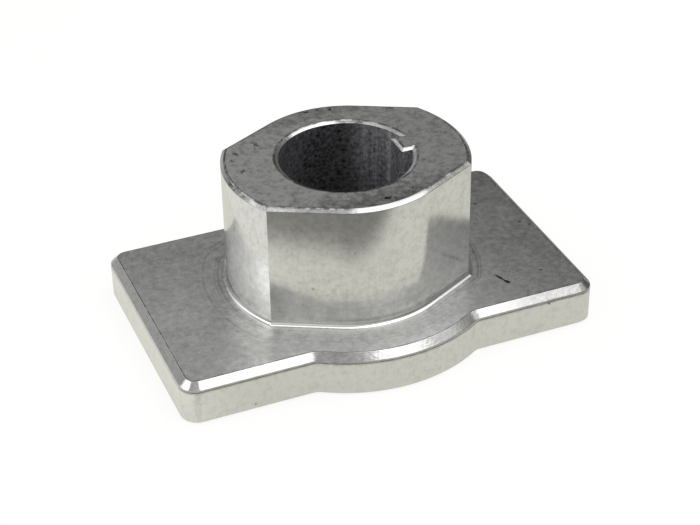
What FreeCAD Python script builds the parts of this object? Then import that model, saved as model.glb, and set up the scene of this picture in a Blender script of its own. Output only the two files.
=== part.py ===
import FreeCAD, Part
import math
import os

# Mower blade adapter: a thick plate with a round ear on each long side, a tall hub with flats and a
# keyed crankshaft bore, all machined from one piece of aluminium. Millimetres, +Z up the bore axis,
# +X along the plate towards the key, origin at the middle of the plate's underside.

# Plate
PLATE_LENGTH = 73.0
PLATE_WIDTH = 42.6
PLATE_THICKNESS = 7.5
PLATE_CORNER_RADIUS = 3.0
PLATE_CHAMFER_WIDTH = 1.2
PLATE_CHAMFER_DEPTH = 1.1
UNDERSIDE_EDGE_BREAK = 0.35

# Round ears, concentric with the bore
EAR_STANDOUT = 4.3
EAR_BLEND_RADIUS = 3.0

# Hub: round ends, and on each side two flats that a smaller round joins
HUB_HEIGHT = 22.2
HUB_END_RADIUS = 20.6
HUB_SIDE_DEPTH = 3.2
HUB_FLAT_TILT = 27.4
HUB_CHAMFER_WIDTH = 0.68
HUB_CHAMFER_DEPTH = 0.5
HUB_FOOT_FILLET = 0.8

# Bore with its integral key
BORE_DIAMETER = 22.25
BORE_CHAMFER_WIDTH = 0.7
BORE_CHAMFER_DEPTH = 0.32
KEY_WIDTH = 4.7
KEY_STANDOUT = 2.1

# Sizes that follow from the ones above
EAR_RADIUS = PLATE_WIDTH / 2 + EAR_STANDOUT
HUB_SIDE_RADIUS = HUB_END_RADIUS - HUB_SIDE_DEPTH
HUB_TOP = PLATE_THICKNESS + HUB_HEIGHT
BORE_RADIUS = BORE_DIAMETER / 2

AXIS = FreeCAD.Vector(0, 0, 0)
UP = FreeCAD.Vector(0, 0, 1)
ALONG_PLATE = FreeCAD.Vector(1, 0, 0)
ACROSS_PLATE = FreeCAD.Vector(0, 1, 0)
HALF_TURN = 180
LEVEL_TOLERANCE = 1e-6


def point(x, y):
    """Point at x, y in the plane of the plate's underside."""
    return FreeCAD.Vector(x, y, 0)


def line(start, end):
    """Straight edge between two points."""
    return Part.LineSegment(start, end).toShape()


def arc(centre, radius, start, end):
    """Circular edge from one point to another, the short way round a centre."""
    middle = centre + (start + end - centre * 2).normalize() * radius
    return Part.Arc(start, middle, end).toShape()


def mirrored(edges, normal):
    """Copies of edges on the other side of the plane through the bore axis with that normal."""
    return [edge.mirror(AXIS, normal) for edge in edges]


def turned(edges):
    """Copies of edges turned half round the bore axis."""
    copies = [edge.copy() for edge in edges]
    for copy in copies:
        copy.rotate(AXIS, UP, HALF_TURN)
    return copies


def outline_at(edges, height):
    """Closed wire of an outline's edges at a height."""
    wire = Part.Wire(Part.__sortEdges__(edges))
    wire.translate(UP * height)
    return wire


def prism(outline, bottom, top):
    """Solid with one outline from a height to another."""
    return Part.Face(outline_at(outline(0), bottom)).extrude(UP * (top - bottom))


def taper(outline, full_height, inset_height, inset):
    """Solid from a full outline at one height to the same outline inset at another."""
    wires = [outline_at(outline(0), full_height), outline_at(outline(inset), inset_height)]
    return Part.makeLoft(wires, True, True)


def plate_outline(inset):
    """The plate's outline, or one inside it: a rectangle with round corners and blended ears."""
    end = PLATE_LENGTH / 2 - inset
    side = PLATE_WIDTH / 2 - inset
    corner_radius = PLATE_CORNER_RADIUS - inset
    corner = point(end - corner_radius, side - corner_radius)
    end_meets = corner + ALONG_PLATE * corner_radius
    side_meets = corner + ACROSS_PLATE * corner_radius

    # The blend's centre stands its own radius off the side and off the ear
    ear_radius = EAR_RADIUS - inset
    blend_radius = EAR_BLEND_RADIUS + inset
    blend_y = side + blend_radius
    reach = ear_radius + blend_radius
    blend = point(math.sqrt(reach ** 2 - blend_y ** 2), blend_y)
    blend_meets_side = blend - ACROSS_PLATE * blend_radius
    blend_meets_ear = blend * (ear_radius / reach)

    quarter = [
        arc(corner, corner_radius, end_meets, side_meets),
        line(side_meets, blend_meets_side),
        arc(blend, blend_radius, blend_meets_side, blend_meets_ear),
    ]
    ear_ends_at = point(-blend_meets_ear.x, blend_meets_ear.y)
    ear = arc(AXIS, ear_radius, blend_meets_ear, ear_ends_at)
    end_starts_at = point(end_meets.x, -end_meets.y)
    half = [line(end_starts_at, end_meets)] + quarter + [ear] + mirrored(quarter, ALONG_PLATE)
    return half + turned(half)


def hub_outline(inset):
    """The hub's outline, or one inside it: an end round, a flat, a side round and a flat, twice."""
    end_radius = HUB_END_RADIUS - inset
    side_radius = HUB_SIDE_RADIUS - inset
    tilt = math.radians(HUB_FLAT_TILT)
    facing = point(math.sin(tilt), math.cos(tilt))
    flat_run = point(math.cos(tilt), -math.sin(tilt))
    flat_meets_side = facing * side_radius
    corner = flat_meets_side + flat_run * math.sqrt(end_radius ** 2 - side_radius ** 2)

    flat = [line(corner, flat_meets_side)]
    side = arc(AXIS, side_radius, flat_meets_side, point(-flat_meets_side.x, flat_meets_side.y))
    end = arc(AXIS, end_radius, point(corner.x, -corner.y), corner)
    half = [end] + flat + [side] + mirrored(flat, ALONG_PLATE)
    return half + turned(half)


def bore_outline(inset):
    """The bore's outline, or one inside it, with the key standing into it on the +X side."""
    radius = BORE_RADIUS - inset
    half_key = KEY_WIDTH / 2 + inset
    key_face = BORE_RADIUS - KEY_STANDOUT - inset
    key_root = point(math.sqrt(radius ** 2 - half_key ** 2), half_key)
    key_corner = point(key_face, half_key)
    back = point(-radius, 0)

    upper = [Part.Arc(key_root, point(0, radius), back).toShape(), line(key_corner, key_root)]
    tip = line(point(key_corner.x, -key_corner.y), key_corner)
    return upper + [tip] + mirrored(upper, ACROSS_PLATE)


def make_plate():
    """Plate with its ears, chamfered round the top and with its underside edge broken."""
    wall_top = PLATE_THICKNESS - PLATE_CHAMFER_DEPTH
    wall = prism(plate_outline, UNDERSIDE_EDGE_BREAK, wall_top)
    chamfer = taper(plate_outline, wall_top, PLATE_THICKNESS, PLATE_CHAMFER_WIDTH)
    edge_break = taper(plate_outline, UNDERSIDE_EDGE_BREAK, 0, UNDERSIDE_EDGE_BREAK)
    return wall.fuse([chamfer, edge_break])


def make_hub():
    """Hub from the plate's top face up, chamfered round its end face."""
    wall_top = HUB_TOP - HUB_CHAMFER_DEPTH
    wall = prism(hub_outline, PLATE_THICKNESS, wall_top)
    return wall.fuse(taper(hub_outline, wall_top, HUB_TOP, HUB_CHAMFER_WIDTH))


def make_bore():
    """What the bore takes away: the keyed hole and the shallow chamfer round each of its mouths."""
    hole = prism(bore_outline, 0, HUB_TOP)
    upper_mouth = taper(bore_outline, HUB_TOP - BORE_CHAMFER_DEPTH, HUB_TOP, -BORE_CHAMFER_WIDTH)
    lower_mouth = taper(bore_outline, BORE_CHAMFER_DEPTH, 0, -BORE_CHAMFER_WIDTH)
    return hole.fuse([upper_mouth, lower_mouth])


def hub_foot(body):
    """Edges along which the hub's wall meets the plate's top face."""
    reach = HUB_END_RADIUS + LEVEL_TOLERANCE
    edges = []
    for edge in body.Edges:
        level = all(abs(v.Z - PLATE_THICKNESS) < LEVEL_TOLERANCE for v in edge.Vertexes)
        if level and all(math.hypot(v.X, v.Y) < reach for v in edge.Vertexes):
            edges.append(edge)
    return edges


def make_adapter():
    """The whole adapter: plate and hub in one, filleted where they meet, with the keyed bore through."""
    body = make_plate().fuse(make_hub())
    body = body.makeFillet(HUB_FOOT_FILLET, hub_foot(body))
    return body.cut(make_bore()).removeSplitter()


os.makedirs("parts", exist_ok=True)
make_adapter().exportStep("parts/blade_adapter.step")
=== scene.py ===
"""Looks of a mower blade adapter: one piece of machined aluminium, plate, hub and keyed bore in one skin.

The skin is one closed grid. Round the part, a column is a turn about the bore axis; across it, a ring is an
outline of the bore, the hub or the plate at one height. Sizes are millimetres and become metres in the mesh.
"""

import logging
from abc import ABC, abstractmethod
from dataclasses import dataclass, field
from enum import Enum
from functools import reduce
from operator import mul
from typing import Any, Optional, Union

import bpy
import numpy as np
from mathutils import Matrix
from numpy.typing import NDArray


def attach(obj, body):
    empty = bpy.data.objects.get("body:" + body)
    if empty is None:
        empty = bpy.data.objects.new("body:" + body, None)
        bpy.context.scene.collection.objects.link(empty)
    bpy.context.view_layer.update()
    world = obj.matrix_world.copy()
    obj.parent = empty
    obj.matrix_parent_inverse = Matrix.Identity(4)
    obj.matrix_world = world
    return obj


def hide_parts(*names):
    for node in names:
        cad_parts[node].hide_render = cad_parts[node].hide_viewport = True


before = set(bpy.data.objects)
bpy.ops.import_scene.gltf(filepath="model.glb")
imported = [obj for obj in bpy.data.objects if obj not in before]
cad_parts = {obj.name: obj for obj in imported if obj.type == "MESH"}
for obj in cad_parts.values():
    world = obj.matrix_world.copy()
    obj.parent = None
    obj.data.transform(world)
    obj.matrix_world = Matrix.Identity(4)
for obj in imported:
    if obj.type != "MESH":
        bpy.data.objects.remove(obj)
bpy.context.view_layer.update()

Array = NDArray[np.float64]
Point = tuple[float, float]
Span = tuple[float, float]
Vector = tuple[float, float, float]
Colour = tuple[float, float, float]
Axes = tuple["Signal", "Signal", "Signal"]
Feed = Union["Signal", float, tuple]
Socket = Union[int, str]

LOG = logging.getLogger("blade_adapter")
MM = 0.001
FULL_TURN = 360.0
HALF_TURN = 180.0
QUARTER_TURN = 90.0
LEAST_BEND = 1e-6  # radians; a corner that bends less is straight
TURN_DIGITS = 6  # turns that agree to this many decimals are one
TEAR_PITCH = 0.6  # size of the notches in a mark's outline
MARK_EDGE: Span = (0.45, 1.1)  # where a mark fades out, in parts of its half length and width
ANY_DEPTH = 1000.0  # size of a mark along the third axis, so that it hardly counts
HUB_OFFSET = "hub_offset"  # attribute with the distance from the hub's wall
BLACK: Colour = (0.0, 0.0, 0.0)


class Signal:
    """A shader socket in a Python expression: each operator adds one Math node."""

    def __init__(self, graph: "Graph", socket: bpy.types.NodeSocket) -> None:
        """Holds a socket of a graph."""
        self.graph = graph
        self.socket = socket

    def output(self, name: str) -> "Signal":
        """Another output of the same node."""
        return Signal(self.graph, self.socket.node.outputs[name])

    def math(self, operation: str, *feeds: Feed) -> "Signal":
        """One Math node on these values or signals."""
        return self.graph.node("ShaderNodeMath", {"operation": operation}, dict(enumerate(feeds)))

    def __add__(self, other: Feed) -> "Signal":
        """Sum."""
        return self.math("ADD", self, other)

    def __sub__(self, other: Feed) -> "Signal":
        """Difference."""
        return self.math("SUBTRACT", self, other)

    def __rsub__(self, other: Feed) -> "Signal":
        """Difference from a number."""
        return self.math("SUBTRACT", other, self)

    def __mul__(self, other: Feed) -> "Signal":
        """Product."""
        return self.math("MULTIPLY", self, other)

    def __abs__(self) -> "Signal":
        """Size without sign."""
        return self.math("ABSOLUTE", self)

    __radd__ = __add__
    __rmul__ = __mul__

    def at_least(self, other: Feed) -> "Signal":
        """The larger of two."""
        return self.math("MAXIMUM", self, other)

    def rise(self, span: Span) -> "Signal":
        """Smooth step from 0 at the span's start to 1 at its end."""
        ends = {"Value": self, "From Min": span[0], "From Max": span[1]}
        return self.graph.node("ShaderNodeMapRange", {"interpolation_type": "SMOOTHSTEP"}, ends)

    def fall(self, span: Span) -> "Signal":
        """Smooth step from 1 at the span's start to 0 at its end."""
        return 1.0 - self.rise(span)


@dataclass(frozen=True)
class Noise:
    """Blotches: size in millimetres, finer octaves, stretch along each axis, and what an octave keeps."""

    pitch: float
    octaves: float = 2.0
    stretch: Vector = (1.0, 1.0, 1.0)
    kept: float = 0.8


class Graph:
    """The nodes of one material or of the world."""

    def __init__(self, tree: bpy.types.NodeTree) -> None:
        """Starts from an empty node tree."""
        tree.nodes.clear()
        self.tree = tree

    def node(
        self, kind: str, settings: dict[str, Any], feeds: dict[Socket, Feed], output: Socket = 0
    ) -> Signal:
        """Adds a node.

        Args:
            kind: the node's type.
            settings: the node's own settings, set before its sockets.
            feeds: a value or a signal for each socket, by its name or number.
            output: which of its outputs is meant.

        Returns:
            That output.
        """
        node = self.tree.nodes.new(kind)
        for name, value in settings.items():
            setattr(node, name, value)
        for name, feed in feeds.items():
            if isinstance(feed, Signal):
                self.tree.links.new(feed.socket, node.inputs[name])
            else:
                node.inputs[name].default_value = feed
        return Signal(self, node.outputs[output])

    def end(self, kind: str, surface: Signal) -> None:
        """Adds the output node of a material or the world, and what it shows."""
        self.tree.links.new(surface.socket, self.tree.nodes.new(kind).inputs["Surface"])

    def place(self) -> Signal:
        """Object coordinates in millimetres."""
        metres = self.node("ShaderNodeTexCoord", {}, {}, "Object")
        return self.node("ShaderNodeVectorMath", {"operation": "SCALE"}, {0: metres, "Scale": 1 / MM})

    def axes(self, vector: Signal) -> Axes:
        """The x, y and z of a vector."""
        parts = self.node("ShaderNodeSeparateXYZ", {}, {0: vector})
        return parts, parts.output("Y"), parts.output("Z")

    def mapped(self, vector: Signal, location: Vector, turn: float, size: Vector) -> Signal:
        """A vector seen from a place, turned about Z in radians, with one unit the given size."""
        feeds = {"Vector": vector, "Location": location, "Rotation": (0.0, 0.0, turn), "Scale": size}
        return self.node("ShaderNodeMapping", {"vector_type": "TEXTURE"}, feeds)

    def length(self, vector: Signal) -> Signal:
        """Length of a vector."""
        return self.node("ShaderNodeVectorMath", {"operation": "LENGTH"}, {0: vector}, "Value")

    def noise(self, vector: Signal, kind: Noise) -> Signal:
        """Noise from -1 to 1 about 0.

        Args:
            vector: coordinates in millimetres.
            kind: its size, octaves and stretch.

        Returns:
            The noise.
        """
        stretched = self.mapped(vector, (0.0, 0.0, 0.0), 0.0, kind.stretch)
        feeds = {"Vector": stretched, "Scale": 1 / kind.pitch, "Detail": kind.octaves, "Roughness": kind.kept}
        return self.node("ShaderNodeTexNoise", {}, feeds) * 2.0 - 1.0

    def ragged(self, vector: Signal, pitch: float, amount: float) -> Signal:
        """A vector moved this way and that by noise.

        Args:
            vector: coordinates in millimetres.
            pitch: size of the noise's blotches in millimetres.
            amount: twice the furthest move, in millimetres.

        Returns:
            The vector + amount x (noise - its middle).
        """
        wild = self.node("ShaderNodeTexNoise", {}, {"Vector": vector, "Scale": 1 / pitch}, "Color")
        level = self.node("ShaderNodeVectorMath", {"operation": "SUBTRACT"}, {0: wild, 1: (0.5, 0.5, 0.5)})
        feeds = {0: level, 1: (amount, amount, amount), 2: vector}
        return self.node("ShaderNodeVectorMath", {"operation": "MULTIPLY_ADD"}, feeds)

    def mix(self, first: Feed, second: Feed, factor: Feed) -> Signal:
        """Colour between two, by a Mix node's sockets for colours."""
        feeds = {0: factor, 6: first, 7: second}
        return self.node("ShaderNodeMix", {"data_type": "RGBA"}, feeds, 2)


def opaque(colour: Colour) -> tuple[float, float, float, float]:
    """A colour as a shader's socket takes it."""
    return (*colour, 1.0)


@dataclass(frozen=True)
class Patch:
    """A soft-edged area that is lighter, darker or duller than what lies round it, by an amount.

    Along each axis it comes in over one span and goes out over another; a span that isn't given leaves that
    side open. Its x spans lean over by a share of y. Spans are millimetres or, in the room, parts of a
    direction.
    """

    amount: float
    x_in: Optional[Span] = None
    x_out: Optional[Span] = None
    y_in: Optional[Span] = None
    y_out: Optional[Span] = None
    z_in: Optional[Span] = None
    z_out: Optional[Span] = None
    lean: float = 0.0

    def on(self, axes: Axes) -> Signal:
        """How much of the patch each place has.

        Args:
            axes: the place's x, y and z.

        Returns:
            The amount times a smooth step for each span.
        """
        x, y, z = axes
        if self.lean:
            x = x - self.lean * y
        rises = ((x, self.x_in), (y, self.y_in), (z, self.z_in))
        falls = ((x, self.x_out), (y, self.y_out), (z, self.z_out))
        steps = [axis.rise(span) for axis, span in rises if span]
        steps += [axis.fall(span) for axis, span in falls if span]
        return reduce(mul, steps, self.amount)


def toned(axes: Axes, patches: tuple[Patch, ...]) -> Feed:
    """Sum of patches at each place."""
    return sum((patch.on(axes) for patch in patches), 0.0)


@dataclass(frozen=True)
class Mark:
    """A nick or scratch: an ellipse on a face, in millimetres, its length turned from +X in degrees."""

    x: float
    y: float
    length: float
    width: float
    turn: float = 0.0
    strength: float = 1.0

    def on(self, graph: Graph, place: Signal) -> Signal:
        """How deep in the mark each place is.

        Args:
            graph: the material's nodes.
            place: coordinates in millimetres.

        Returns:
            The strength inside and 0 outside, by the distance from the middle in parts of the half sizes.
        """
        size = (self.length / 2, self.width / 2, ANY_DEPTH)
        near = graph.mapped(place, (self.x, self.y, 0.0), np.radians(self.turn), size)
        return self.strength * graph.length(near).fall(MARK_EDGE)


def marks_on(graph: Graph, place: Signal, marks: tuple[Mark, ...], tear: float) -> Feed:
    """How deep in a mark each place of a face is.

    Args:
        graph: the material's nodes.
        place: coordinates in millimetres.
        marks: the marks of the face.
        tear: how far apart noise pulls their outlines, in millimetres.

    Returns:
        0 off the marks, up to each mark's strength inside it.
    """
    if not marks:
        return 0.0
    torn = graph.ragged(place, TEAR_PITCH, tear)
    return sum((mark.on(graph, torn) for mark in marks), 0.0)


@dataclass
class Look:
    """What varies over a finish: tone of the metal from 0 to 1, roughness, and height in millimetres."""

    tone: Signal
    roughness: Signal
    height: Signal


@dataclass(frozen=True)
class Finish(ABC):
    """Bare aluminium as one kind of cut leaves it.

    Its grain is a mottle of blotches with finer and finer grains in them. Tones are shares of the way from
    grime, which also gives painted shade, to bare metal, and depths are millimetres.
    """

    name: str
    colour: Colour = (0.72, 0.72, 0.706)
    grime_and_shade: Colour = (0.03, 0.03, 0.03)
    bare: float = 0.9
    roughness: float = 0.2
    grain: Noise = Noise(1.2, 3.0)
    grain_tone: float = 0.1
    grain_depth: float = 0.0004
    grain_roughness: float = 0.05

    @abstractmethod
    def look(self, graph: Graph, place: Signal) -> Look:
        """What varies over this finish.

        Args:
            graph: the material's nodes.
            place: object coordinates in millimetres.

        Returns:
            Tone, roughness and height.
        """

    def material(self) -> bpy.types.Material:
        """Makes the metal: its colour goes from grime and painted shade to bare with the tone.

        Returns:
            The material, with the look's roughness and bump.
        """
        material = bpy.data.materials.new(self.name)
        material.use_nodes = True
        graph = Graph(material.node_tree)
        look = self.look(graph, graph.place())
        bump = graph.node("ShaderNodeBump", {}, {"Strength": 1.0, "Distance": MM, "Height": look.height})
        feeds = {
            "Base Color": graph.mix(opaque(self.grime_and_shade), opaque(self.colour), look.tone),
            "Metallic": 1.0,
            "Roughness": look.roughness,
            "Normal": bump,
        }
        graph.end("ShaderNodeOutputMaterial", graph.node("ShaderNodeBsdfPrincipled", {}, feeds))
        return material


@dataclass(frozen=True)
class FacedEnd(Finish):
    """The hub's end face: fine even mottle, wide soft patches, dark nicks, and darker towards its sides."""

    bare: float = 0.92
    patch: Noise = Noise(5.0)
    patch_tone: float = 0.15
    darker_patches: tuple[Patch, ...] = (Patch(0.27, y_in=(9.0, 16.0)), Patch(0.47, y_out=(-16.0, -9.0)))
    marks: tuple[Mark, ...] = ()
    mark_tear: float = 1.6
    mark_depth: float = 0.01
    mark_fill: float = 0.68
    mark_breaks: Noise = Noise(0.35)
    mark_break_tone: float = 0.7

    def look(self, graph: Graph, place: Signal) -> Look:
        """Mottle and patches, less the darker patches and nicks that noise breaks up.

        Args:
            graph: the material's nodes.
            place: object coordinates in millimetres.

        Returns:
            Tone, roughness and height.
        """
        grain = graph.noise(place, self.grain)
        broken = self.mark_fill + self.mark_break_tone * graph.noise(place, self.mark_breaks)
        nicks = marks_on(graph, place, self.marks, self.mark_tear) * broken
        darkened = toned(graph.axes(place), self.darker_patches)
        mottle = self.grain_tone * grain + self.patch_tone * graph.noise(place, self.patch)
        rough = self.roughness + self.grain_roughness * grain
        height = self.grain_depth * grain - self.mark_depth * nicks
        return Look(self.bare + mottle - nicks - darkened, rough, height)


@dataclass(frozen=True)
class CutterPath:
    """A line that the cutter's edge left round the hub.

    It has a distance from the hub's wall, a reach to each side, a depth of tone, and the span of x where it
    ends.
    """

    offset: float
    reach: float
    tone: float
    ends: Span = (50.0, 60.0)


@dataclass(frozen=True)
class MilledTop(Finish):
    """The plate's top face: mottle, the cutter's paths round the hub, scratches, and patches of painted light
    and shade.

    A strip before the hub is lighter and rougher, lightest close to the hub, and covers some of the paths. In
    the patches, the third axis is the distance from the hub's wall.
    """

    bare: float = 0.7
    grain_roughness: float = 0.04
    patch: Noise = Noise(6.0)
    patch_tone: float = 0.1
    feed: Noise = Noise(0.3)
    feed_tone: float = 0.05
    # Painted light and shade: lighter near the hub's right side and on the left, darker over a reflected
    # highlight in front on the left, and darker towards the right and towards the back.
    painted_tints: tuple[Patch, ...] = (
        Patch(0.07, x_in=(14.0, 20.0), z_out=(1.5, 6.0)),
        Patch(0.07, x_out=(-23.0, -20.5), y_out=(-2.0, 6.0), lean=0.35),
        Patch(-0.12, x_in=(-28.5, -24.5), x_out=(-21.0, -17.5), y_out=(-15.5, -9.5)),
        Patch(-0.16, x_in=(8.0, 32.0), lean=-0.5),
        Patch(-0.1, y_in=(4.0, 18.0)),
    )
    strip: Patch = Patch(1.0, x_in=(-31.0, -12.0), x_out=(-3.0, 28.0), y_out=(-15.0, -7.0))
    strip_tone: float = 0.12
    strip_close: Span = (1.4, 3.0)
    strip_close_tone: float = 0.26
    strip_roughness: float = 0.27
    strip_cover: float = 0.4
    paths: tuple[CutterPath, ...] = ()
    path_wander: Noise = Noise(4.0)
    path_wander_reach: float = 0.1
    path_fading: Noise = Noise(3.0)
    path_fading_span: Span = (-0.6, 0.5)
    path_faintest: float = 0.35
    path_kept: Patch = Patch(0.7, x_in=(12.0, 20.0))
    path_depth: float = 0.004
    path_roughness: float = 0.2
    marks: tuple[Mark, ...] = ()
    mark_tear: float = 0.5
    mark_depth: float = 0.01

    def lines(self, graph: Graph, place: Signal, axes: Axes) -> Signal:
        """The cutter's paths, which wander a little and fade here and there.

        Args:
            graph: the material's nodes.
            place: object coordinates in millimetres.
            axes: x, y and the distance from the hub's wall.

        Returns:
            The sum of each path's tone x its falls to both sides and at its end, x the share that is left.
        """
        x, _, offset = axes
        wander = offset + self.path_wander_reach * graph.noise(place, self.path_wander)
        fading = graph.noise(place, self.path_fading).rise(self.path_fading_span) + self.path_kept.on(axes)
        total: Feed = 0.0
        for path in self.paths:
            across = abs(wander - path.offset)
            total = path.tone * across.fall((0.0, path.reach)) * x.fall(path.ends) + total
        return total * (self.path_faintest + (1 - self.path_faintest) * fading)

    def look(self, graph: Graph, place: Signal) -> Look:
        """Mottle, feed marks, tints and the strip, less the paths and scratches.

        Args:
            graph: the material's nodes.
            place: object coordinates in millimetres.

        Returns:
            Tone, roughness and height.
        """
        grain = graph.noise(place, self.grain)
        offset = graph.node("ShaderNodeAttribute", {"attribute_name": HUB_OFFSET}, {}, "Fac")
        x, y, _ = graph.axes(place)
        axes = (x, y, offset)
        strip = self.strip.on(axes)
        lines = self.lines(graph, place, axes) * (1.0 - self.strip_cover * strip)
        scratches = marks_on(graph, place, self.marks, self.mark_tear)
        mottle = self.grain_tone * grain + self.patch_tone * graph.noise(place, self.patch)
        mottle = mottle + self.feed_tone * graph.noise(offset, self.feed)
        bare = self.bare + strip * (self.strip_tone + self.strip_close_tone * offset.fall(self.strip_close))
        # the tints add painted light and shade to the tone
        tone = bare + toned(axes, self.painted_tints) + mottle - lines - scratches
        rough = self.roughness + self.strip_roughness * strip + self.grain_roughness * grain
        height = self.grain_depth * grain - self.path_depth * lines - self.mark_depth * scratches
        return Look(tone, rough + self.path_roughness * lines, height)


@dataclass(frozen=True)
class MilledWall(Finish):
    """A wall cut by the side of the cutter: upright chatter, soft patches, level streaks of painted shade, a
    painted dark brow below its upper edge, and nicks.

    Its nicks are on the front, by x and z.
    """

    bare: float = 0.96
    grain_roughness: float = 0.03
    patch: Noise = Noise(4.0)
    patch_tone: float = 0.05
    patch_roughness: float = 0.02
    chatter: Noise = Noise(0.5, 1.0, (1.0, 1.0, 30.0))
    chatter_tone: float = 0.04
    # Painted shade, streaked level.
    darker_patches: tuple[Patch, ...] = ()
    darker_streaks: Noise = Noise(0.4, 1.0, (30.0, 30.0, 1.0))
    # Painted shade below the wall's upper edge.
    painted_brow: tuple[Patch, ...] = ()
    dulled: tuple[Patch, ...] = ()
    marks: tuple[Mark, ...] = ()
    mark_tear: float = 0.5
    front: Span = (-2.0, 0.0)

    def look(self, graph: Graph, place: Signal) -> Look:
        """Mottle and chatter, less the streaked painted shade, the painted dark brow and nicks; rougher where
        it is dulled.

        Args:
            graph: the material's nodes.
            place: object coordinates in millimetres.

        Returns:
            Tone, roughness and height.
        """
        grain = graph.noise(place, self.grain)
        patches = graph.noise(place, self.patch)
        chatter = graph.noise(place, self.chatter)
        axes = graph.axes(place)
        x, y, z = axes
        front = graph.node("ShaderNodeCombineXYZ", {}, {0: x, 1: z})
        nicks = marks_on(graph, front, self.marks, self.mark_tear) * y.fall(self.front)
        # painted shade in level streaks
        darkened = toned(axes, self.darker_patches) * (1.0 + graph.noise(place, self.darker_streaks))
        mottle = self.grain_tone * grain + self.patch_tone * patches + self.chatter_tone * chatter
        # the brow is painted shade below the wall's upper edge
        tone = self.bare + mottle - nicks - darkened - toned(axes, self.painted_brow)
        rough = self.roughness + self.grain_roughness * grain + self.patch_roughness * patches
        return Look(tone, rough + toned(axes, self.dulled), self.grain_depth * (grain + chatter))


@dataclass(frozen=True)
class CutEdge(Finish):
    """A chamfer or fillet: bright, with mottle, streaked dull places and, on the fillet, painted shade along
    its upper lip.
    """

    bare: float = 0.97
    grain_roughness: float = 0.06
    lip: tuple[Patch, ...] = ()
    marks: tuple[Mark, ...] = ()
    mark_tear: float = 0.5
    mark_tone: float = 0.95
    mark_streaks: Noise = Noise(0.8, 1.0, (5.0, 1.0, 1.0))
    mark_streak_tone: float = 0.7

    def look(self, graph: Graph, place: Signal) -> Look:
        """Mottle in the tone, roughness and height, less the dull places and the lip's painted shade.

        Args:
            graph: the material's nodes.
            place: object coordinates in millimetres.

        Returns:
            Tone, roughness and height.
        """
        grain = graph.noise(place, self.grain)
        streaked = self.mark_tone + self.mark_streak_tone * graph.noise(place, self.mark_streaks)
        dull = marks_on(graph, place, self.marks, self.mark_tear) * streaked
        # the lip's painted shade comes off the tone
        tone = self.bare + self.grain_tone * grain - dull - toned(graph.axes(place), self.lip)
        return Look(tone, self.roughness + self.grain_roughness * grain, self.grain_depth * grain)


@dataclass(frozen=True)
class EdgeLine(Finish):
    """The burr beside a chamfer: a thin line of painted dark reflection, broken here and there.

    Along the part's sides the painted line has one depth, at its ends another, and a place in front is left
    out of it, so it stays bright.
    """

    depth: float = 0.7
    ends_depth: float = 0.7
    sides: Span = (9.0, 17.0)
    steady: float = 0.3
    breaks: Noise = Noise(1.6)
    break_span: Span = (-0.3, 0.15)
    # Where the painted dark line is left out, so the edge stays bright.
    left_bright: Patch = Patch(0.8, x_in=(-6.5, -4.5), x_out=(6.0, 9.0), y_out=(-15.5, -14.5), z_in=(28.0, 29.0))

    def look(self, graph: Graph, place: Signal) -> Look:
        """Mottle, less the painted dark line, of which only the steady share is left where wide noise is low.

        Args:
            graph: the material's nodes.
            place: object coordinates in millimetres.

        Returns:
            Tone, roughness and height.
        """
        grain = graph.noise(place, self.grain)
        axes = graph.axes(place)
        held = graph.noise(place, self.breaks).rise(self.break_span)
        depth = self.ends_depth + (self.depth - self.ends_depth) * abs(axes[1]).rise(self.sides)
        # painted dark reflection along the edge
        dark_line = depth * (self.steady + (1 - self.steady) * held) * (1.0 - self.left_bright.on(axes))
        tone = self.bare - dark_line + self.grain_tone * grain
        return Look(tone, self.roughness + self.grain_roughness * grain, self.grain_depth * grain)


@dataclass(frozen=True)
class BoredHole(Finish):
    """The bore's wall: painted dark for the shade inside it, dull and streaked upwards, painted lighter on the
    key's side, less on the key's face.
    """

    # Painted shade: the whole wall is painted dark for the shade inside the bore.
    bare: float = 0.29
    # Painted light on the bore's far left.
    far_painted_light: Patch = Patch(0.18, x_out=(-6.0, -1.0))
    streaks: Noise = Noise(0.8, 2.0, (1.0, 1.0, 40.0))
    streak_tone: float = 0.06
    # Painted light on the key's side, growing towards the top where light comes in; that side is also rougher.
    lit_side: Patch = Patch(1.0, x_in=(3.0, 9.2))
    lit_side_tone: float = 0.45
    lit_side_rise: Span = (14.0, 26.0)
    lit_side_low: float = 0.5
    lit_side_streak_tone: float = 0.42
    lit_side_roughness: float = 0.2
    bands: Noise = Noise(1.7, 1.0, (1.0, 1.0, 60.0))
    band_tone: float = 0.35
    key_side: Span = (2.25, 2.6)
    key_cover: float = 0.45

    def look(self, graph: Graph, place: Signal) -> Look:
        """Mottle and upright streaks; on the key's side, painted light, more so higher up, and also bands.

        Args:
            graph: the material's nodes.
            place: object coordinates in millimetres.

        Returns:
            Tone, roughness and height.
        """
        grain = graph.noise(place, self.grain)
        axes = graph.axes(place)
        _, y, z = axes
        streaks = graph.noise(place, self.streaks)
        # painted light on the key's side of the bore
        lit_side = self.lit_side.on(axes) * (1.0 - self.key_cover * abs(y).fall(self.key_side))
        higher = self.lit_side_low + (1 - self.lit_side_low) * z.rise(self.lit_side_rise)
        tone = self.bare + self.far_painted_light.on(axes) + self.lit_side_tone * lit_side * higher + self.grain_tone * grain
        tone = tone + (self.streak_tone + self.lit_side_streak_tone * lit_side) * streaks
        tone = tone + self.band_tone * lit_side * graph.noise(place, self.bands)
        rough = self.roughness + self.lit_side_roughness * lit_side
        return Look(tone, rough, self.grain_depth * (grain + streaks))


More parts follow.
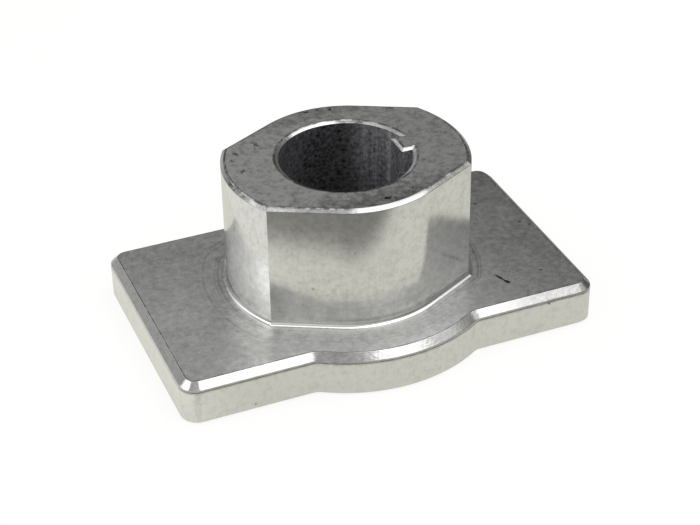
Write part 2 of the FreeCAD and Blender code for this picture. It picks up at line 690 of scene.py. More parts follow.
@dataclass(frozen=True)
class Straight:
    """A straight stretch of an outline and the way that it faces."""

    start: Point
    end: Point
    facing: Point

    def trace(self, share: Array) -> tuple[Array, Array]:
        """Points along it.

        Args:
            share: shares of the way from its start to its end.

        Returns:
            Points at start + share x (end - start), and the one way that they face.
        """
        step = np.subtract(self.end, self.start)
        points = np.asarray(self.start) + share[:, None] * step
        return points, np.broadcast_to(self.facing, points.shape)


@dataclass(frozen=True)
class Round:
    """A round stretch of an outline, its angles in degrees. A hollow one faces its own centre."""

    centre: Point
    radius: float
    start: float
    end: float
    hollow: bool = False

    def trace(self, share: Array) -> tuple[Array, Array]:
        """Points along it.

        Args:
            share: shares of the way from its start to its end.

        Returns:
            Points at centre + radius x (cos a, sin a), where a goes evenly from start to end, and their ways.
        """
        angle = np.radians(self.start + share * (self.end - self.start))
        ray = np.stack([np.cos(angle), np.sin(angle)], axis=1)
        return np.asarray(self.centre) + self.radius * ray, -ray if self.hollow else ray


Stretch = Union[Straight, Round]


class Symmetry(Enum):
    """How much of an outline is drawn; mirrors give the rest."""

    HALF = HALF_TURN
    QUARTER = QUARTER_TURN


def polar(x: float, y: float) -> float:
    """Turn of a point about the bore axis, in degrees from +X."""
    return float(np.degrees(np.arctan2(y, x)))


@dataclass(frozen=True)
class Outline(ABC):
    """A closed outline round the bore axis that can be drawn larger or smaller.

    Each stretch keeps the same columns, from one station to the next, at every inset, so corners stay in
    line.
    """

    @property
    @abstractmethod
    def symmetry(self) -> Symmetry:
        """How much of it is drawn."""

    @property
    @abstractmethod
    def reach(self) -> float:
        """Its size from the axis along +X, to tell which of two outlines is the outer."""

    @abstractmethod
    def stations(self) -> list[float]:
        """Turns at which its stretches meet, in degrees."""

    @abstractmethod
    def stretches(self, inset: float) -> list[Stretch]:
        """Its stretches from +X round, for an outline that lies inset millimetres inside."""

    def knots(self) -> Array:
        """Its stations over half a turn."""
        drawn = np.array(self.stations())
        return drawn if self.symmetry is Symmetry.HALF else np.concatenate([drawn, HALF_TURN - drawn])

    def trace(self, turn: Array, inset: float) -> tuple[Array, Array]:
        """Points and outward directions at each turn.

        A turn is folded into the drawn part, placed on its stretch by its share of the way between two
        stations, and mirrored back.

        Args:
            turn: turns about the bore axis in degrees, from 0 to 360.
            inset: how far inside the full outline, in millimetres.

        Returns:
            Points and unit directions, each an array of pairs.
        """
        mirror = np.ones((len(turn), 2))
        mirror[turn > HALF_TURN, 1] = -1
        folded = np.where(turn > HALF_TURN, FULL_TURN - turn, turn)
        if self.symmetry is Symmetry.QUARTER:
            mirror[folded > QUARTER_TURN, 0] = -1
            folded = np.where(folded > QUARTER_TURN, HALF_TURN - folded, folded)
        points = np.zeros((len(turn), 2))
        facing = np.zeros((len(turn), 2))
        stations = self.stations()
        for first, last, stretch in zip(stations[:-1], stations[1:], self.stretches(inset)):
            here = (folded >= first) & (folded <= last)
            points[here], facing[here] = stretch.trace((folded[here] - first) / (last - first))
        return points * mirror, facing * mirror


@dataclass(frozen=True)
class HubOutline(Outline):
    """Round ends, and on each side two flats that a smaller round joins; the corners are barely broken."""

    end_radius: float = 20.6
    side_radius: float = 17.4
    flat_tilt: float = 27.4
    corner_radius: float = 0.12

    symmetry = Symmetry.QUARTER

    @property
    def reach(self) -> float:
        """Radius of the round ends."""
        return self.end_radius

    def corner(self, inset: float) -> tuple[Array, Array]:
        """Centre of a corner's round: the corner's radius inside the flat and inside the end round.

        Args:
            inset: how far inside the full outline, in millimetres.

        Returns:
            The centre, and the way that the flat faces.
        """
        tilt = np.radians(self.flat_tilt)
        facing = np.array([np.sin(tilt), np.cos(tilt)])
        along = np.array([np.cos(tilt), -np.sin(tilt)])
        end = self.end_radius - inset - self.corner_radius
        side = self.side_radius - inset - self.corner_radius
        return facing * side + along * np.sqrt(end**2 - side**2), facing

    def stations(self) -> list[float]:
        """The corner's two ends, where the flat runs into the side round, and the middle of the side.

        Returns:
            Their turns in degrees.
        """
        centre, facing = self.corner(0.0)
        flat_start = centre + facing * self.corner_radius
        return [0.0, polar(*centre), polar(*flat_start), QUARTER_TURN - self.flat_tilt, QUARTER_TURN]

    def stretches(self, inset: float) -> list[Stretch]:
        """End round, corner, flat and side round.

        Args:
            inset: how far inside the full outline, in millimetres.

        Returns:
            The stretches from +X round.
        """
        centre, facing = self.corner(inset)
        side = self.side_radius - inset
        flat_turn = QUARTER_TURN - self.flat_tilt
        return [
            Round((0.0, 0.0), self.end_radius - inset, 0.0, polar(*centre)),
            Round(tuple(centre), self.corner_radius, polar(*centre), flat_turn),
            Straight(tuple(centre + facing * self.corner_radius), tuple(facing * side), tuple(facing)),
            Round((0.0, 0.0), side, flat_turn, QUARTER_TURN),
        ]

    def offset(self, points: Array) -> Array:
        """Distance of points outside this outline.

        Args:
            points: places seen from above, as an array of pairs.

        Returns:
            The larger of the distance past the end round and the distance past the side, which is measured
            along the flat's direction, or along the radius where the side is round.
        """
        tilt = np.radians(self.flat_tilt)
        x, y = np.abs(points[:, 0]), np.abs(points[:, 1])
        radius = np.hypot(x, y)
        past_flat = x * np.sin(tilt) + y * np.cos(tilt)
        past_side = np.where(np.arctan2(y, x) > np.pi / 2 - tilt, radius, past_flat)
        return np.maximum(radius - self.end_radius, past_side - self.side_radius)


@dataclass(frozen=True)
class PlateOutline(Outline):
    """A rectangle with round corners and, in the middle of each long side, a round ear with blended ends."""

    length: float = 73.0
    width: float = 42.6
    corner_radius: float = 3.0
    ear_radius: float = 25.6
    blend_radius: float = 3.0

    symmetry = Symmetry.QUARTER

    @property
    def reach(self) -> float:
        """Half its length."""
        return self.length / 2

    def blend(self, inset: float) -> Point:
        """Centre of an ear's blend: its own radius off the side, and off the ear.

        Args:
            inset: how far inside the full outline, in millimetres.

        Returns:
            Its x and y.
        """
        radius = self.blend_radius + inset
        y = self.width / 2 - inset + radius
        x = float(np.sqrt((self.ear_radius - inset + radius) ** 2 - y**2))
        return x, y

    def stations(self) -> list[float]:
        """Ends of the corner's round, of the side and of the blend, and the middle of the ear.

        Returns:
            Their turns in degrees.
        """
        end, side = self.length / 2, self.width / 2
        blend = self.blend(0.0)
        corner = [polar(end, side - self.corner_radius), polar(end - self.corner_radius, side)]
        return [0.0, *corner, polar(blend[0], side), polar(*blend), QUARTER_TURN]

    def stretches(self, inset: float) -> list[Stretch]:
        """End, corner, side, blend and ear.

        Args:
            inset: how far inside the full outline, in millimetres.

        Returns:
            The stretches from +X round.
        """
        end, side = self.length / 2 - inset, self.width / 2 - inset
        corner = self.corner_radius - inset
        blend = self.blend(inset)
        ear_turn = polar(*blend)
        return [
            Straight((end, 0.0), (end, side - corner), (1.0, 0.0)),
            Round((end - corner, side - corner), corner, 0.0, QUARTER_TURN),
            Straight((end - corner, side), (blend[0], side), (0.0, 1.0)),
            Round(blend, self.blend_radius + inset, -QUARTER_TURN, ear_turn - HALF_TURN, hollow=True),
            Round((0.0, 0.0), self.ear_radius - inset, ear_turn, QUARTER_TURN),
        ]


@dataclass(frozen=True)
class BoreOutline(Outline):
    """A round hole with a key standing into it on the +X side. Its key takes few columns, so none cross it."""

    radius: float = 11.125
    key_width: float = 4.7
    key_standout: float = 2.1
    key_corner_radius: float = 0.15
    key_columns: tuple[float, ...] = (4.7, 5.2, 6.4, 6.9)
    even_from: float = 60.0

    symmetry = Symmetry.HALF

    @property
    def reach(self) -> float:
        """Radius of the hole."""
        return self.radius

    def stations(self) -> list[float]:
        """Ends of the key's rounds, where columns come back to their own turn, and the far side."""
        return [0.0, *self.key_columns, self.even_from, HALF_TURN]

    def stretches(self, inset: float) -> list[Stretch]:
        """Half the key's face, its corner, its side, its root, and the wall of the hole in two stretches.

        Args:
            inset: how far inside the full outline, in millimetres.

        Returns:
            The stretches from +X round.
        """
        radius = self.radius - inset
        half_key = self.key_width / 2 + inset
        face = self.radius - self.key_standout - inset
        corner = self.key_corner_radius
        root_y = half_key + corner
        root_x = float(np.sqrt((radius - corner) ** 2 - root_y**2))
        root_turn = polar(root_x, root_y)
        return [
            Straight((face, 0.0), (face, half_key - corner), (1.0, 0.0)),
            Round((face + corner, half_key - corner), corner, HALF_TURN, QUARTER_TURN, hollow=True),
            Straight((face + corner, half_key), (root_x, half_key), (0.0, -1.0)),
            Round((root_x, root_y), corner, -QUARTER_TURN, root_turn),
            Round((0.0, 0.0), radius, root_turn, self.even_from),
            Round((0.0, 0.0), radius, self.even_from, HALF_TURN),
        ]


class Zone(Enum):
    """Faces of the part, each with its own finish."""

    HUB_END = 0
    HUB_WALL = 1
    PLATE_TOP = 2
    PLATE_WALL = 3
    CHAMFER = 4
    BORE = 5
    UNDERSIDE = 6
    EDGE_LINE = 7
    WALL_LINE = 8
    FOOT = 9


@dataclass(frozen=True)
class Corner:
    """A corner of the profile, on one outline: how far out of it, how high, and the radius that rounds it.

    zone is the face that its round belongs to, next_zone the face that follows, and rings how many rings that
    face has between this corner and the next.
    """

    outline: Outline
    out: float
    height: float
    radius: float
    zone: Zone
    next_zone: Zone
    rings: int
    steps: int = 4

    def toward(self, other: "Corner") -> Array:
        """Direction of the face to another corner; between two outlines, faces are level.

        Args:
            other: the corner at the face's other end.

        Returns:
            A unit direction, out and up.
        """
        if self.outline is not other.outline:
            return np.array([np.sign(other.outline.reach - self.outline.reach), 0.0])
        step = np.array([other.out - self.out, other.height - self.height])
        return step / np.linalg.norm(step)

    def rounded(self, arrive: Array, leave: Array) -> tuple[Array, Array]:
        """Places and surface directions, each out and up, along the corner's round.

        The round starts its tangent length before the corner. The surface direction is the travel direction
        turned a quarter to the left, and it turns evenly from one face's to the other's.

        Args:
            arrive: unit direction of travel into the corner.
            leave: unit direction of travel out of it.

        Returns:
            Places and directions, each an array of pairs; only one pair at a corner that isn't rounded.
        """
        first = np.array([-arrive[1], arrive[0]])
        bend = np.arctan2(arrive[0] * leave[1] - arrive[1] * leave[0], arrive @ leave)
        here = np.array([self.out, self.height])
        if self.radius == 0 or abs(bend) < LEAST_BEND:
            return here[None], first[None]
        angle = np.linspace(0.0, bend, self.steps + 1)
        cos, sin = np.cos(angle), np.sin(angle)
        turned = np.stack([first[0] * cos - first[1] * sin, first[0] * sin + first[1] * cos], axis=1)
        start = here - arrive * self.radius * np.tan(abs(bend) / 2)
        swell = -np.sign(bend) * self.radius
        return start + swell * (turned - first), turned


@dataclass
class AdapterBody:
    """The adapter's skin: every face of the plate, the hub and the bore, in one closed grid.

    A chamfer is its width and depth. The burr starts at a share of it, the rim is the edge line beside it,
    and the path rings lie on the plate at two distances from the hub.
    """

    name: str = "adapter_body"
    node: str = "blade_adapter"
    slot: str = "machined_aluminium"
    hub: HubOutline = field(default_factory=HubOutline)
    plate: PlateOutline = field(default_factory=PlateOutline)
    bore: BoreOutline = field(default_factory=BoreOutline)
    plate_thickness: float = 7.5
    hub_top: float = 29.7
    plate_chamfer: Point = (1.2, 1.1)
    hub_chamfer: Point = (0.68, 0.5)
    bore_chamfer: Point = (0.7, 0.32)
    underside_break: float = 0.35
    foot_fillet: float = 0.8
    edge_radius: float = 0.07
    plate_edge_radius: float = 0.3
    rim_width: float = 0.2
    burr_from: float = 0.7
    path_rings: Point = (2.0, 4.5)
    columns_per_degree: float = 2.4
    fewest_columns: int = 4

    def profile(self) -> list[Corner]:
        """The profile: out over the hub's end, down to the plate, out, down, in under it, and up the bore.

        Returns:
            Its corners in that order.
        """
        hub_width, hub_depth = self.hub_chamfer
        plate_width, plate_depth = self.plate_chamfer
        bore_width, bore_depth = self.bore_chamfer
        top, seat, broken = self.hub_top, self.plate_thickness, self.underside_break
        edge, soft = self.edge_radius, self.plate_edge_radius
        hub, plate, bore = self.hub, self.plate, self.bore
        end, wall, upper, side = Zone.HUB_END, Zone.HUB_WALL, Zone.PLATE_TOP, Zone.PLATE_WALL
        cut, line, hole, under = Zone.CHAMFER, Zone.EDGE_LINE, Zone.BORE, Zone.UNDERSIDE
        foot, low, rim, burr = Zone.FOOT, Zone.WALL_LINE, self.rim_width, self.burr_from
        return [
            Corner(bore, bore_width * burr, top - bore_depth * (1 - burr), 0.0, cut, line, 1),
            Corner(bore, bore_width, top, edge, line, line, 1),
            Corner(bore, bore_width + rim, top, 0.0, end, end, 3),
            Corner(hub, -hub_width - rim, top, 0.0, end, line, 1),
            Corner(hub, -hub_width, top, edge, line, line, 1),
            Corner(hub, -hub_width * burr, top - hub_depth * (1 - burr), 0.0, cut, cut, 1),
            Corner(hub, 0.0, top - hub_depth, edge, cut, low, 1),
            Corner(hub, 0.0, top - hub_depth - rim / 2, 0.0, wall, wall, 3),
            Corner(hub, 0.0, seat, self.foot_fillet, foot, upper, 2, 10),
            Corner(hub, self.path_rings[0], seat, 0.0, upper, upper, 2),
            Corner(hub, self.path_rings[1], seat, 0.0, upper, upper, 8),
            Corner(plate, -plate_width - rim, seat, 0.0, upper, line, 1),
            Corner(plate, -plate_width, seat, edge, cut, cut, 1),
            Corner(plate, 0.0, seat - plate_depth, soft, cut, low, 1),
            Corner(plate, 0.0, seat - plate_depth - 2 * rim, 0.0, side, side, 3),
            Corner(plate, 0.0, broken, edge, side, side, 1),
            Corner(plate, -broken, 0.0, edge, side, under, 3),
            Corner(bore, bore_width, 0.0, edge, cut, cut, 1),
            Corner(bore, 0.0, bore_depth, edge, cut, hole, 3),
            Corner(bore, 0.0, top - bore_depth, edge, cut, cut, 1),
        ]

    def columns(self) -> Array:
        """Columns at every station of the three outlines, and at even steps between them.

        Returns:
            Their turns in degrees, from 0 to under 360.
        """
        stations = np.concatenate([outline.knots() for outline in (self.hub, self.plate, self.bore)])
        knots = np.unique(np.round(stations, TURN_DIGITS))
        steps = np.ceil(np.diff(knots) * self.columns_per_degree)
        counts = np.maximum(self.fewest_columns, steps).astype(int)
        spans = [np.linspace(a, b, n, endpoint=False) for a, b, n in zip(knots[:-1], knots[1:], counts)]
        half = np.concatenate(spans)
        return np.concatenate([half, [HALF_TURN], FULL_TURN - half[:0:-1]])

    def rings(self) -> tuple[Array, Array, Array]:
        """The grid's places and surface directions.

        A corner's rings are its outline drawn at each place of its round. A face's rings lie at even shares
        of the way between the last ring of one corner and the first ring of the next.

        Returns:
            Places and directions as arrays of rings x columns x 3, and an array of each ring's zone number.
        """
        turn = self.columns()
        profile = self.profile()
        corners = []
        for before, corner, after in zip(profile[-1:] + profile[:-1], profile, profile[1:] + profile[:1]):
            places, directions = corner.rounded(before.toward(corner), corner.toward(after))
            traced = [corner.outline.trace(turn, -out) for out in places[:, 0]]
            flat = np.stack([points for points, _ in traced])
            facing = np.stack([ways for _, ways in traced])
            height = np.broadcast_to(places[:, 1, None, None], (*flat.shape[:2], 1))
            rise = np.broadcast_to(directions[:, 1, None, None], (*flat.shape[:2], 1))
            grid = np.concatenate([flat, height], axis=2)
            ways = np.concatenate([facing * directions[:, 0, None, None], rise], axis=2)
            corners.append((grid, ways))
        places, directions, zones = [], [], []
        for corner, (grid, ways), (next_grid, next_ways) in zip(profile, corners, corners[1:] + corners[:1]):
            share = np.linspace(0.0, 1.0, corner.rings + 2)[1:-1, None, None]
            places += [grid, grid[-1] + share * (next_grid[0] - grid[-1])]
            directions += [ways, ways[-1] + share * (next_ways[0] - ways[-1])]
            zones += [corner.zone.value] * (len(grid) - 1) + [corner.next_zone.value] * (corner.rings + 1)
        return np.concatenate(places), np.concatenate(directions), np.array(zones)

    def build(self) -> bpy.types.Object:
        """Makes the skin: ring i and column j make vertex i x columns + j, and the grid is closed both ways.

        Returns:
            The skin as an object.
        """
        places, directions, zones = self.rings()
        ring_count, column_count = places.shape[:2]
        vertices = places.reshape(-1, 3)
        ring, column = np.meshgrid(np.arange(ring_count), np.arange(column_count), indexing="ij")
        next_ring, next_column = (ring + 1) % ring_count, (column + 1) % column_count
        sides = [(ring, column), (next_ring, column), (next_ring, next_column), (ring, next_column)]
        faces = np.stack([r * column_count + c for r, c in sides], axis=2).reshape(-1, 4)
        mesh = bpy.data.meshes.new(self.name)
        mesh.from_pydata((vertices * MM).tolist(), [], faces.tolist())
        mesh.polygons.foreach_set("material_index", np.repeat(zones, column_count).astype(np.int32))
        mesh.polygons.foreach_set("use_smooth", np.ones(len(faces), dtype=bool))
        offset = mesh.attributes.new(HUB_OFFSET, "FLOAT", "POINT")
        offset.data.foreach_set("value", self.hub.offset(vertices[:, :2]).astype(np.float32))
        ways = directions.reshape(-1, 3)
        mesh.normals_split_custom_set_from_vertices(ways / np.linalg.norm(ways, axis=1, keepdims=True))
        piece = bpy.data.objects.new(self.name, mesh)
        bpy.context.scene.collection.objects.link(piece)
        return piece

    def finishes(self) -> dict[Zone, Finish]:
        """The finish of each zone, with its marks.

        Returns:
            The finishes by zone.
        """
        nicks = (
            Mark(3.4, 15.2, 1.2, 0.7, 70.0, 1.0),
            Mark(-0.6, 16.0, 1.4, 0.6, 20.0, 1.0),
            Mark(1.3, 15.8, 1.3, 0.5, 5.0, 0.5),
            Mark(12.6, 11.6, 1.2, 0.5, -20.0, 0.7),
            Mark(1.0, -15.1, 1.3, 0.8, 15.0, 0.8),
            Mark(2.0, -15.5, 1.0, 0.6, 60.0, 0.7),
            Mark(4.7, -14.5, 1.6, 1.0, 10.0, 0.3),
            Mark(11.0, -6.7, 1.0, 0.8, 30.0, 0.3),
            Mark(17.6, 0.4, 1.4, 1.0, 30.0, 0.35),
            Mark(-12.4, 9.0, 1.5, 0.7, 65.0, 1.0),
            Mark(-12.7, 9.8, 1.0, 0.5, 10.0, 0.7),
            Mark(-12.9, 8.0, 1.1, 0.6, 30.0, 0.8),
            Mark(-10.3, 10.2, 1.3, 0.7, 80.0, 0.4),
            Mark(-17.2, 1.9, 1.9, 0.6, 55.0, 1.0),
            Mark(-16.5, 7.5, 1.9, 0.6, -75.0, 0.9),
            Mark(-17.7, 5.6, 1.2, 0.5, -60.0, 0.8),
        )
        scratches = (
            Mark(22.45, -13.5, 3.8, 0.5, -69.5, 0.9),
            Mark(22.9, -14.8, 1.5, 0.9, -62.0, 0.8),
            Mark(33.4, 1.1, 0.9, 0.4, -30.0, 0.5),
            Mark(34.6, -0.3, 0.8, 0.6, 20.0, 0.35),
            Mark(29.7, -13.9, 0.9, 0.5, 0.0, 0.4),
            Mark(33.9, 13.0, 0.6, 0.4, 0.0, 0.3),
            Mark(28.9, 9.7, 0.7, 0.5, 0.0, 0.35),
        )
        paths = (
            CutterPath(0.95, 0.28, 0.12),
            CutterPath(1.55, 0.4, 0.32),
            CutterPath(2.1, 0.32, 0.2),
            CutterPath(3.4, 0.32, 0.05, (6.0, 16.0)),
            CutterPath(4.1, 0.4, 0.2, (6.0, 16.0)),
            CutterPath(5.0, 0.48, 0.07, (6.0, 16.0)),
        )
        spots = (
            Mark(-5.4, 21.8, 0.5, 0.4, 0.0, 0.3),
            Mark(-11.6, 14.8, 0.6, 0.4, 0.0, 0.3),
        )
        dull = (
            Mark(4.9, 10.4, 7.0, 3.0, -27.0, 0.8),
            Mark(-9.2, -14.5, 15.0, 3.5, -24.0, 0.42),
            Mark(-6.8, 9.3, 3.0, 2.0, 36.0, 0.3),
            Mark(0.0, -11.3, 21.0, 4.5, 0.0, 0.68),
            Mark(8.7, 0.0, 1.6, 6.0, 0.0, 0.5),
            Mark(-20.0, -3.0, 10.0, 3.0, -82.0, 0.7),
            Mark(12.7, -12.6, 13.0, 3.0, 27.4, 0.4),
            Mark(-11.7, -22.1, 11.0, 3.5, -28.0, 0.2),
            Mark(29.0, -20.7, 19.0, 3.5, 0.0, 0.26),
        )
        # Painted shade on the fillet: dimmer at the hub's left end and along the right flat.
        foot_painted_shade = (
            Mark(-21.0, 8.0, 22.0, 6.0, 90.0, 0.5),
            Mark(14.8, -12.0, 18.0, 4.0, 27.4, 0.2),
        )
        # Painted shade along the fillet's upper lip, more in front.
        foot_shaded_lip = (
            Patch(0.2, z_in=(8.0, 8.2)),
            Patch(0.2, x_in=(-9.0, -3.0), x_out=(8.0, 11.0), z_in=(7.6, 7.85)),
        )
        wall_nicks_and_corner_shade = (
            # Painted dark reflection: a faint upright band on the plate's rounded front-left corner; the other
            # two are nicks.
            Mark(-34.3, 3.4, 8.0, 1.5, 90.0, 0.14),
            Mark(27.4, 6.0, 1.3, 0.5, -60.0, 0.5),
            Mark(-24.8, 1.1, 0.5, 0.4, 0.0, 0.4),
        )
        # Painted shade on the hub's wall: darker towards the foot, most in front just above the fillet.
        wall_foot_shade = (
            Patch(0.08, z_out=(11.0, 19.0)),
            Patch(0.048, x_in=(-8.0, 2.0), x_out=(9.0, 13.0), z_out=(9.0, 14.0)),
            Patch(0.264, x_in=(-15.0, -6.0), x_out=(8.0, 12.0), z_out=(8.4, 9.5)),
        )
        wall_dulled = (Patch(0.08, z_out=(10.0, 15.0)),)
        # Painted shade: the plate's wall darker just below its chamfer.
        plate_painted_brow = (Patch(0.5, z_in=(5.5, 6.4)),)
        pale = (0.9, 0.9, 0.883)
        foot_pale = (0.9, 0.9, 0.885)
        bluish = (0.86, 0.86, 0.9)
        hub_wall = MilledWall(
            "milled_wall",
            bare=0.94,
            roughness=0.16,
            grain_tone=0.36,
            darker_patches=wall_foot_shade,
            dulled=wall_dulled,
            marks=spots,
        )
        plate_wall = MilledWall(
            "milled_plate_wall", bare=0.98, roughness=0.25, grain_tone=0.3, painted_brow=plate_painted_brow, marks=wall_nicks_and_corner_shade
        )
        return {
            Zone.HUB_END: FacedEnd("faced_hub_end", roughness=0.26, grain_tone=0.9, marks=nicks),
            Zone.HUB_WALL: hub_wall,
            Zone.PLATE_TOP: MilledTop(
                "milled_plate_top", pale, roughness=0.27, grain_tone=0.4, paths=paths, marks=scratches
            ),
            Zone.PLATE_WALL: plate_wall,
            Zone.CHAMFER: CutEdge("cut_edge", roughness=0.17, grain_tone=0.3, grain_depth=0.016, marks=dull),
            Zone.BORE: BoredHole("bored_wall", bluish, roughness=0.45, grain=Noise(0.7, 3.0), grain_tone=0.9),
            Zone.UNDERSIDE: MilledTop("milled_underside", pale, roughness=0.25),
            # Painted dark reflection along the chamfers' edges.
            Zone.EDGE_LINE: EdgeLine("edge_line", roughness=0.3),
            # Fillet at the hub's foot, with painted shade on its upper lip and at its left end.
            Zone.FOOT: CutEdge("hub_foot", foot_pale, roughness=0.2, lip=foot_shaded_lip, marks=foot_painted_shade),
            # Painted dark reflection just below the chamfers on the walls.
            Zone.WALL_LINE: EdgeLine("wall_line", roughness=0.3, depth=0.62, ends_depth=0.3, steady=0.8),
        }

    def dress(self, piece: bpy.types.Object) -> None:
        """Gives the skin its finishes and sets it in the frame.

        Args:
            piece: the skin.
        """
        finishes = self.finishes()
        for zone in Zone:
            piece.data.materials.append(finishes[zone].material())
        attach(piece, "root")
        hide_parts(self.node)


@dataclass(frozen=True)
class WhiteFloor:
    """Pale matt paper with a white glow for the camera and for reflections, none down the bore.

    In reflections the glow is uneven: stronger on the left, weaker in front, far off and in a shaded place.
    """

    name: str = "white_floor"
    paper: Colour = (0.2, 0.199, 0.19)
    camera_glow: Colour = (0.835, 0.835, 0.835)
    right_glow: Colour = (1.0, 0.99, 0.885)
    left_glow: Colour = (1.0, 0.995, 0.95)
    glow_change: Span = (-55.0, -30.0)
    bore_edge: Span = (12.0, 16.0)
    near_edge: Span = (60.0, 100.0)
    near: float = 0.61
    far: float = 0.26
    left: Patch = Patch(0.165, x_out=(-48.0, -20.0))
    shade: Patch = Patch(0.93, x_in=(30.0, 36.0), y_in=(-14.0, -6.0))
    front: float = 0.11
    front_edge: Span = (-57.0, -48.0)
    front_lean: float = 0.32

    def mirrored(self, graph: Graph, place: Signal) -> Signal:
        """How strongly the floor glows in reflections.

        Args:
            graph: the material's nodes.
            place: object coordinates in millimetres.

        Returns:
            The glow near the part or far from it, x its share under the bore and in front.
        """
        axes = graph.axes(place)
        x, y, _ = axes
        away = graph.length(place)
        near = away.fall(self.near_edge)
        glow = near * (self.near + self.left.on(axes)) * (1.0 - self.shade.on(axes)) + self.far * (1.0 - near)
        behind = (y + self.front_lean * x).rise(self.front_edge)
        return away.rise(self.bore_edge) * glow * (self.front + (1 - self.front) * behind)

    def material(self) -> bpy.types.Material:
        """Makes the paper: matt, and added to it the glow that each kind of ray sees.

        Returns:
            The material.
        """
        material = bpy.data.materials.new(self.name)
        material.use_nodes = True
        graph = Graph(material.node_tree)
        place = graph.place()
        x, _, _ = graph.axes(place)
        camera = graph.node("ShaderNodeLightPath", {}, {}, "Is Camera Ray")
        reflected = camera.output("Is Glossy Ray").at_least(camera.output("Is Transmission Ray"))
        warm = graph.mix(opaque(self.right_glow), opaque(self.left_glow), x.fall(self.glow_change))
        lit = graph.mix(opaque(BLACK), warm, reflected * self.mirrored(graph, place))
        glow = graph.mix(lit, opaque(self.camera_glow), camera)
        light = graph.node("ShaderNodeEmission", {}, {"Color": glow, "Strength": 1.0})
        matt = graph.node("ShaderNodeBsdfDiffuse", {}, {"Color": opaque(self.paper)})
        graph.end("ShaderNodeOutputMaterial", graph.node("ShaderNodeAddShader", {}, {0: light, 1: matt}))
        return material


@dataclass(frozen=True)
class Room:
    """A grey room with pale walls on some sides and a belt round it, that the camera sees as white.

    The belt ends along one way, given by its shares of x and y. The peak is the brightest that it can be.
    """

    name: str = "studio"
    grey: float = 0.14
    walls: tuple[Patch, ...] = (
        Patch(0.065, x_out=(0.42, 0.6)),
        Patch(0.11, x_out=(0.2, 0.42)),
        Patch(0.09, z_in=(0.52, 0.66)),
        Patch(0.58, x_out=(-0.3, 0.1), y_in=(-0.05, 0.25), z_in=(0.36, 0.5), z_out=(0.64, 0.76)),
        Patch(0.5, x_in=(0.5, 0.75), y_out=(0.1, 0.4), z_in=(0.52, 0.66)),
        Patch(0.22, x_out=(-0.2, 0.4), y_in=(-0.1, 0.4), z_out=(0.1, 0.36)),
        Patch(0.12, y_out=(-0.5, 0.0), z_out=(0.3, 0.45)),
        Patch(0.3, z_in=(0.8, 0.94)),
        Patch(1.1, z_in=(0.968, 0.985)),
    )
    belt: Patch = Patch(1.0, z_in=(0.36, 0.5), z_out=(0.64, 0.76))
    belt_grey: float = 0.25
    belt_walls: tuple[Patch, ...] = (Patch(0.17, x_out=(0.3, 0.7)), Patch(0.18, x_out=(-0.75, -0.45)))
    belt_way: Point = (0.6, 1.1)
    belt_end: Span = (0.0, 1.0)
    peak: float = 4.0

    def world(self) -> bpy.types.World:
        """Makes the room: by direction, the grey, the walls and the belt.

        Returns:
            The world.
        """
        world = bpy.data.worlds.new(self.name)
        world.use_nodes = True
        graph = Graph(world.node_tree)
        axes = graph.axes(graph.node("ShaderNodeTexCoord", {}, {}, "Generated"))
        x, y, _ = axes
        camera = graph.node("ShaderNodeLightPath", {}, {}, "Is Camera Ray")
        ahead = (self.belt_way[0] * x + self.belt_way[1] * y).fall(self.belt_end)
        belt = self.belt.on(axes) * ahead * (self.belt_grey + toned(axes, self.belt_walls))
        room = self.grey + toned(axes, self.walls) + belt
        share = (camera + (1.0 - camera) * room) * (1 / self.peak)
        shade = graph.mix(opaque(BLACK), opaque((self.peak,) * 3), share)
        light = graph.node("ShaderNodeBackground", {}, {"Color": shade, "Strength": 1.0})
        graph.end("ShaderNodeOutputWorld", light)
        return world


@dataclass(frozen=True)
class Lamp:
    """A soft oval lamp: place and size in metres, turn from facing down in degrees, power in watts."""

    name: str
    place: Vector
    size: Point
    turn: Vector
    power: float

    def hang(self) -> None:
        """Hangs the lamp in its place."""
        light = bpy.data.lights.new(self.name, "AREA")
        light.shape = "ELLIPSE"
        light.size, light.size_y = self.size
        light.energy = self.power
        piece = bpy.data.objects.new(self.name, light)
        piece.location = self.place
        piece.rotation_euler = np.radians(self.turn)
        bpy.context.scene.collection.objects.link(piece)


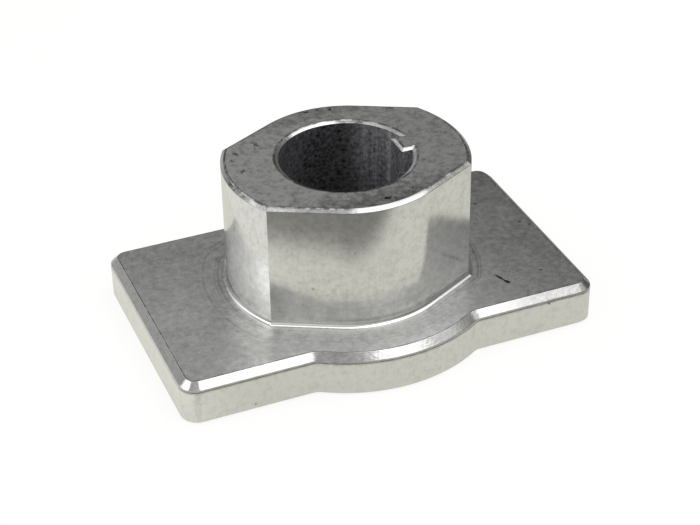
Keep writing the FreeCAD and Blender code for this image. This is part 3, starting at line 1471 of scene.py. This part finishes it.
@dataclass
class Studio:
    """White floor, soft lamps above and on the left, a grey room and the camera.

    The floor's reach and drop are metres, the eye's place is millimetres, and the camera's right, down and
    forward are unit directions.
    """

    floor_reach: float = 3.0
    floor_drop: float = 0.00005
    paper: WhiteFloor = WhiteFloor()
    lamps: tuple[Lamp, ...] = (
        Lamp("top_lamp", (0.235, -0.094, 0.5), (0.475, 0.752), (0.0, 0.0, -17.0), 1.15),
        Lamp("left_lamp", (-0.378, 0.01, 0.34), (0.19, 0.29), (0.0, -49.0, -5.0), 0.2),
    )
    room: Room = Room()
    eye: Vector = (-96.278, -237.271, 179.285)
    right: Vector = (0.922577, -0.385587, -0.013189)
    down: Vector = (-0.224129, -0.507813, -0.831801)
    forward: Vector = (0.314035, 0.770356, -0.554918)
    lens: float = 92.965
    sensor: float = 36.0

    def floor(self) -> None:
        """Lays a flat square floor that takes the part's shadow."""
        corners = np.array([(-1, -1), (1, -1), (1, 1), (-1, 1)]) * self.floor_reach
        vertices = np.column_stack([corners, np.full(len(corners), -self.floor_drop)])
        mesh = bpy.data.meshes.new("floor")
        mesh.from_pydata(vertices.tolist(), [], [(0, 1, 2, 3)])
        mesh.materials.append(self.paper.material())
        floor = bpy.data.objects.new("floor", mesh)
        bpy.context.scene.collection.objects.link(floor)

    def camera(self) -> None:
        """Sets the camera, with its right, up and back directions as the columns of its turn."""
        data = bpy.data.cameras.new("camera")
        data.lens = self.lens
        data.sensor_width = self.sensor
        camera = bpy.data.objects.new("camera", data)
        pose = np.eye(4)
        pose[:3, :3] = np.column_stack([self.right, np.negative(self.down), np.negative(self.forward)])
        pose[:3, 3] = np.multiply(self.eye, MM)
        camera.matrix_world = Matrix(pose.tolist())
        bpy.context.scene.collection.objects.link(camera)
        bpy.context.scene.camera = camera

    def build(self) -> None:
        """Sets up the floor, the lamps, the room and the camera."""
        self.floor()
        for lamp in self.lamps:
            lamp.hang()
        bpy.context.scene.world = self.room.world()
        self.camera()
        bpy.context.scene.view_settings.view_transform = "Standard"


def main() -> None:
    """Builds the studio and the adapter."""
    logging.basicConfig(level=logging.INFO, format="%(name)s: %(message)s")
    Studio().build()
    LOG.info("studio: floor, lamps, room and camera")
    body = AdapterBody()
    piece = body.build()
    body.dress(piece)
    LOG.info("%s: %d faces, stands for %s", piece.name, len(piece.data.polygons), body.node)


if __name__ == "__main__":
    main()
